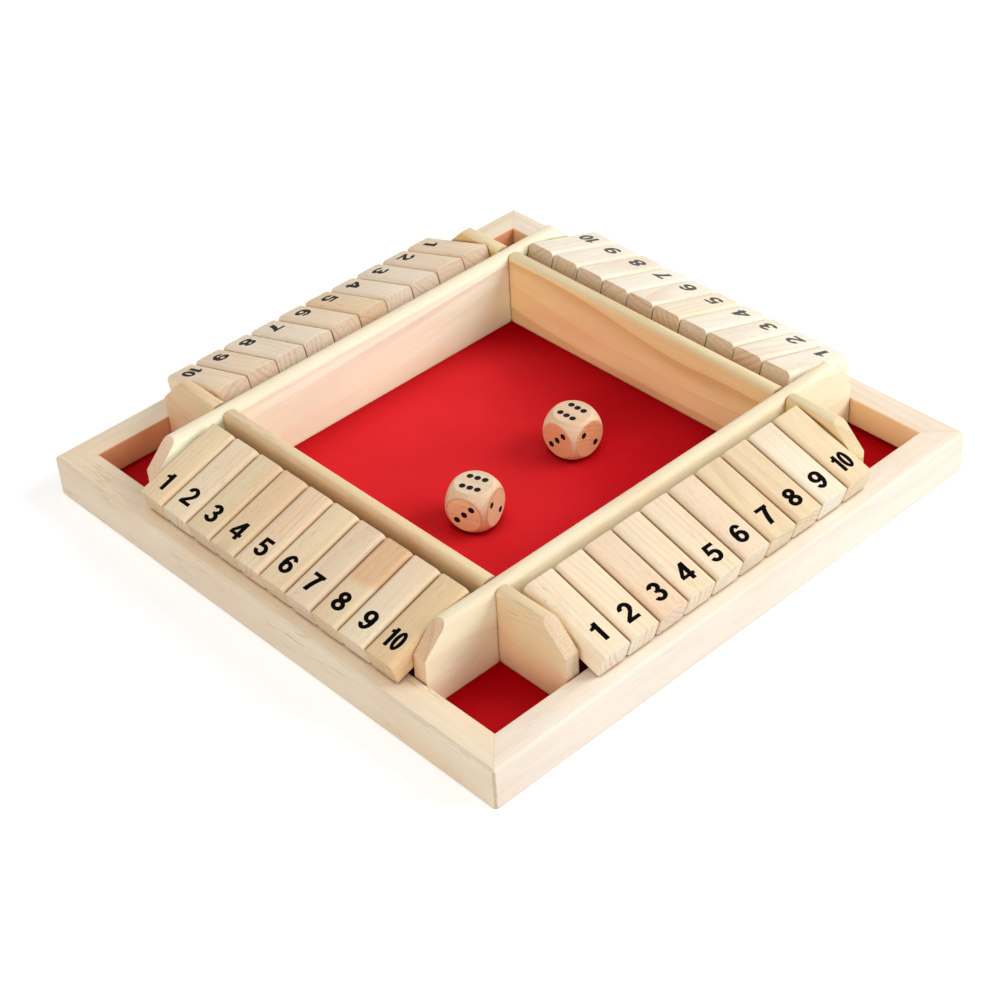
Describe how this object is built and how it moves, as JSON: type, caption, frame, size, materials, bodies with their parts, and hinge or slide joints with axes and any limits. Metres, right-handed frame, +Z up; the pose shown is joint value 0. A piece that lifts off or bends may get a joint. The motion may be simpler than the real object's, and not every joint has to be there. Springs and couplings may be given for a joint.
{
  "type": "shut the box game",
  "caption": "Square wooden shut the box game: a felt-lined dice tray inside a low frame, with a row of numbered flaps hinged on a rod along each side, and two dice.",
  "frame": {"origin": "centre of the game's outline, on the surface that it stands on", "axes": "+Z up, -Y towards the player of the front row, +X towards the player of the right row"},
  "size_m": [0.223, 0.223, 0.0358],
  "materials": {
    "pine": "planed pale pine with fine grain",
    "flap_pine": "sawn pale pine with rounded long edges and printed numbers",
    "plywood": "raw plywood",
    "felt": "smooth red felt",
    "steel": "drawn steel rod",
    "die_wood": "tumbled hardwood with black pips"
  },
  "bodies": {
    "tray": {"base_panel": "plywood", "divider_back": "pine", "divider_front": "pine", "divider_left": "pine", "divider_right": "pine", "felt_liner": "felt", "hinge_rod_back": "steel", "hinge_rod_front": "steel", "hinge_rod_left": "steel", "hinge_rod_right": "steel", "rail_back": "pine", "rail_front": "pine", "rail_left": "pine", "rail_right": "pine"},
    "flap_back_1": {"flap_back_1": "flap_pine"},
    "flap_back_2": {"flap_back_2": "flap_pine"},
    "flap_back_3": {"flap_back_3": "flap_pine"},
    "flap_back_4": {"flap_back_4": "flap_pine"},
    "flap_back_5": {"flap_back_5": "flap_pine"},
    "flap_back_6": {"flap_back_6": "flap_pine"},
    "flap_back_7": {"flap_back_7": "flap_pine"},
    "flap_back_8": {"flap_back_8": "flap_pine"},
    "flap_back_9": {"flap_back_9": "flap_pine"},
    "flap_back_10": {"flap_back_10": "flap_pine"},
    "flap_front_1": {"flap_front_1": "flap_pine"},
    "flap_front_2": {"flap_front_2": "flap_pine"},
    "flap_front_3": {"flap_front_3": "flap_pine"},
    "flap_front_4": {"flap_front_4": "flap_pine"},
    "flap_front_5": {"flap_front_5": "flap_pine"},
    "flap_front_6": {"flap_front_6": "flap_pine"},
    "flap_front_7": {"flap_front_7": "flap_pine"},
    "flap_front_8": {"flap_front_8": "flap_pine"},
    "flap_front_9": {"flap_front_9": "flap_pine"},
    "flap_front_10": {"flap_front_10": "flap_pine"},
    "flap_left_1": {"flap_left_1": "flap_pine"},
    "flap_left_2": {"flap_left_2": "flap_pine"},
    "flap_left_3": {"flap_left_3": "flap_pine"},
    "flap_left_4": {"flap_left_4": "flap_pine"},
    "flap_left_5": {"flap_left_5": "flap_pine"},
    "flap_left_6": {"flap_left_6": "flap_pine"},
    "flap_left_7": {"flap_left_7": "flap_pine"},
    "flap_left_8": {"flap_left_8": "flap_pine"},
    "flap_left_9": {"flap_left_9": "flap_pine"},
    "flap_left_10": {"flap_left_10": "flap_pine"},
    "flap_right_1": {"flap_right_1": "flap_pine"},
    "flap_right_2": {"flap_right_2": "flap_pine"},
    "flap_right_3": {"flap_right_3": "flap_pine"},
    "flap_right_4": {"flap_right_4": "flap_pine"},
    "flap_right_5": {"flap_right_5": "flap_pine"},
    "flap_right_6": {"flap_right_6": "flap_pine"},
    "flap_right_7": {"flap_right_7": "flap_pine"},
    "flap_right_8": {"flap_right_8": "flap_pine"},
    "flap_right_9": {"flap_right_9": "flap_pine"},
    "flap_right_10": {"flap_right_10": "flap_pine"},
    "die_left": {"die_left": "die_wood"},
    "die_right": {"die_right": "die_wood"}
  },
  "joints": [
    {"name": "flap_back_1_hinge", "type": "hinge", "parent": "tray", "child": "flap_back_1", "pos_m": [0.05667, 0.07875, 0.0299], "axis": [1, 0, 0], "range_deg": [0, 128]},
    {"name": "flap_back_2_hinge", "type": "hinge", "parent": "tray", "child": "flap_back_2", "pos_m": [0.0439, 0.07875, 0.0299], "axis": [1, 0, 0], "range_deg": [0, 142]},
    {"name": "flap_back_3_hinge", "type": "hinge", "parent": "tray", "child": "flap_back_3", "pos_m": [0.03112, 0.07875, 0.0299], "axis": [1, 0, 0], "range_deg": [0, 142]},
    {"name": "flap_back_4_hinge", "type": "hinge", "parent": "tray", "child": "flap_back_4", "pos_m": [0.01835, 0.07875, 0.0299], "axis": [1, 0, 0], "range_deg": [0, 142]},
    {"name": "flap_back_5_hinge", "type": "hinge", "parent": "tray", "child": "flap_back_5", "pos_m": [0.00558, 0.07875, 0.0299], "axis": [1, 0, 0], "range_deg": [0, 142]},
    {"name": "flap_back_6_hinge", "type": "hinge", "parent": "tray", "child": "flap_back_6", "pos_m": [-0.00719, 0.07875, 0.0299], "axis": [1, 0, 0], "range_deg": [0, 142]},
    {"name": "flap_back_7_hinge", "type": "hinge", "parent": "tray", "child": "flap_back_7", "pos_m": [-0.01996, 0.07875, 0.0299], "axis": [1, 0, 0], "range_deg": [0, 142]},
    {"name": "flap_back_8_hinge", "type": "hinge", "parent": "tray", "child": "flap_back_8", "pos_m": [-0.03272, 0.07875, 0.0299], "axis": [1, 0, 0], "range_deg": [0, 142]},
    {"name": "flap_back_9_hinge", "type": "hinge", "parent": "tray", "child": "flap_back_9", "pos_m": [-0.0455, 0.07875, 0.0299], "axis": [1, 0, 0], "range_deg": [0, 142]},
    {"name": "flap_back_10_hinge", "type": "hinge", "parent": "tray", "child": "flap_back_10", "pos_m": [-0.05826, 0.07875, 0.0299], "axis": [1, 0, 0], "range_deg": [0, 128]},
    {"name": "flap_front_1_hinge", "type": "hinge", "parent": "tray", "child": "flap_front_1", "pos_m": [-0.05667, -0.07875, 0.0299], "axis": [-1, 0, 0], "range_deg": [0, 128]},
    {"name": "flap_front_2_hinge", "type": "hinge", "parent": "tray", "child": "flap_front_2", "pos_m": [-0.0439, -0.07875, 0.0299], "axis": [-1, 0, 0], "range_deg": [0, 142]},
    {"name": "flap_front_3_hinge", "type": "hinge", "parent": "tray", "child": "flap_front_3", "pos_m": [-0.03112, -0.07875, 0.0299], "axis": [-1, 0, 0], "range_deg": [0, 142]},
    {"name": "flap_front_4_hinge", "type": "hinge", "parent": "tray", "child": "flap_front_4", "pos_m": [-0.01835, -0.07875, 0.0299], "axis": [-1, 0, 0], "range_deg": [0, 142]},
    {"name": "flap_front_5_hinge", "type": "hinge", "parent": "tray", "child": "flap_front_5", "pos_m": [-0.00558, -0.07875, 0.0299], "axis": [-1, 0, 0], "range_deg": [0, 142]},
    {"name": "flap_front_6_hinge", "type": "hinge", "parent": "tray", "child": "flap_front_6", "pos_m": [0.00719, -0.07875, 0.0299], "axis": [-1, 0, 0], "range_deg": [0, 142]},
    {"name": "flap_front_7_hinge", "type": "hinge", "parent": "tray", "child": "flap_front_7", "pos_m": [0.01996, -0.07875, 0.0299], "axis": [-1, 0, 0], "range_deg": [0, 142]},
    {"name": "flap_front_8_hinge", "type": "hinge", "parent": "tray", "child": "flap_front_8", "pos_m": [0.03272, -0.07875, 0.0299], "axis": [-1, 0, 0], "range_deg": [0, 142]},
    {"name": "flap_front_9_hinge", "type": "hinge", "parent": "tray", "child": "flap_front_9", "pos_m": [0.0455, -0.07875, 0.0299], "axis": [-1, 0, 0], "range_deg": [0, 142]},
    {"name": "flap_front_10_hinge", "type": "hinge", "parent": "tray", "child": "flap_front_10", "pos_m": [0.05826, -0.07875, 0.0299], "axis": [-1, 0, 0], "range_deg": [0, 128]},
    {"name": "flap_left_1_hinge", "type": "hinge", "parent": "tray", "child": "flap_left_1", "pos_m": [-0.07875, 0.0581, 0.0299], "axis": [0, 1, 0], "range_deg": [0, 128]},
    {"name": "flap_left_2_hinge", "type": "hinge", "parent": "tray", "child": "flap_left_2", "pos_m": [-0.07875, 0.04534, 0.0299], "axis": [0, 1, 0], "range_deg": [0, 142]},
    {"name": "flap_left_3_hinge", "type": "hinge", "parent": "tray", "child": "flap_left_3", "pos_m": [-0.07875, 0.03256, 0.0299], "axis": [0, 1, 0], "range_deg": [0, 142]},
    {"name": "flap_left_4_hinge", "type": "hinge", "parent": "tray", "child": "flap_left_4", "pos_m": [-0.07875, 0.0198, 0.0299], "axis": [0, 1, 0], "range_deg": [0, 142]},
    {"name": "flap_left_5_hinge", "type": "hinge", "parent": "tray", "child": "flap_left_5", "pos_m": [-0.07875, 0.00702, 0.0299], "axis": [0, 1, 0], "range_deg": [0, 142]},
    {"name": "flap_left_6_hinge", "type": "hinge", "parent": "tray", "child": "flap_left_6", "pos_m": [-0.07875, -0.00575, 0.0299], "axis": [0, 1, 0], "range_deg": [0, 142]},
    {"name": "flap_left_7_hinge", "type": "hinge", "parent": "tray", "child": "flap_left_7", "pos_m": [-0.07875, -0.01852, 0.0299], "axis": [0, 1, 0], "range_deg": [0, 142]},
    {"name": "flap_left_8_hinge", "type": "hinge", "parent": "tray", "child": "flap_left_8", "pos_m": [-0.07875, -0.03129, 0.0299], "axis": [0, 1, 0], "range_deg": [0, 142]},
    {"name": "flap_left_9_hinge", "type": "hinge", "parent": "tray", "child": "flap_left_9", "pos_m": [-0.07875, -0.04405, 0.0299], "axis": [0, 1, 0], "range_deg": [0, 142]},
    {"name": "flap_left_10_hinge", "type": "hinge", "parent": "tray", "child": "flap_left_10", "pos_m": [-0.07875, -0.05683, 0.0299], "axis": [0, 1, 0], "range_deg": [0, 128]},
    {"name": "flap_right_1_hinge", "type": "hinge", "parent": "tray", "child": "flap_right_1", "pos_m": [0.07875, -0.05699, 0.0299], "axis": [0, -1, 0], "range_deg": [0, 128]},
    {"name": "flap_right_2_hinge", "type": "hinge", "parent": "tray", "child": "flap_right_2", "pos_m": [0.07875, -0.04421, 0.0299], "axis": [0, -1, 0], "range_deg": [0, 142]},
    {"name": "flap_right_3_hinge", "type": "hinge", "parent": "tray", "child": "flap_right_3", "pos_m": [0.07875, -0.03145, 0.0299], "axis": [0, -1, 0], "range_deg": [0, 142]},
    {"name": "flap_right_4_hinge", "type": "hinge", "parent": "tray", "child": "flap_right_4", "pos_m": [0.07875, -0.01868, 0.0299], "axis": [0, -1, 0], "range_deg": [0, 142]},
    {"name": "flap_right_5_hinge", "type": "hinge", "parent": "tray", "child": "flap_right_5", "pos_m": [0.07875, -0.0059, 0.0299], "axis": [0, -1, 0], "range_deg": [0, 142]},
    {"name": "flap_right_6_hinge", "type": "hinge", "parent": "tray", "child": "flap_right_6", "pos_m": [0.07875, 0.00686, 0.0299], "axis": [0, -1, 0], "range_deg": [0, 142]},
    {"name": "flap_right_7_hinge", "type": "hinge", "parent": "tray", "child": "flap_right_7", "pos_m": [0.07875, 0.01963, 0.0299], "axis": [0, -1, 0], "range_deg": [0, 142]},
    {"name": "flap_right_8_hinge", "type": "hinge", "parent": "tray", "child": "flap_right_8", "pos_m": [0.07875, 0.03241, 0.0299], "axis": [0, -1, 0], "range_deg": [0, 142]},
    {"name": "flap_right_9_hinge", "type": "hinge", "parent": "tray", "child": "flap_right_9", "pos_m": [0.07875, 0.04517, 0.0299], "axis": [0, -1, 0], "range_deg": [0, 142]},
    {"name": "flap_right_10_hinge", "type": "hinge", "parent": "tray", "child": "flap_right_10", "pos_m": [0.07875, 0.05795, 0.0299], "axis": [0, -1, 0], "range_deg": [0, 128]},
    {"name": "die_left_lift", "type": "slide", "parent": "tray", "child": "die_left", "axis": [0, 0, 1], "range_m": [0, 0.06]},
    {"name": "die_right_lift", "type": "slide", "parent": "tray", "child": "die_right", "axis": [0, 0, 1], "range_m": [0, 0.06]}
  ]
}
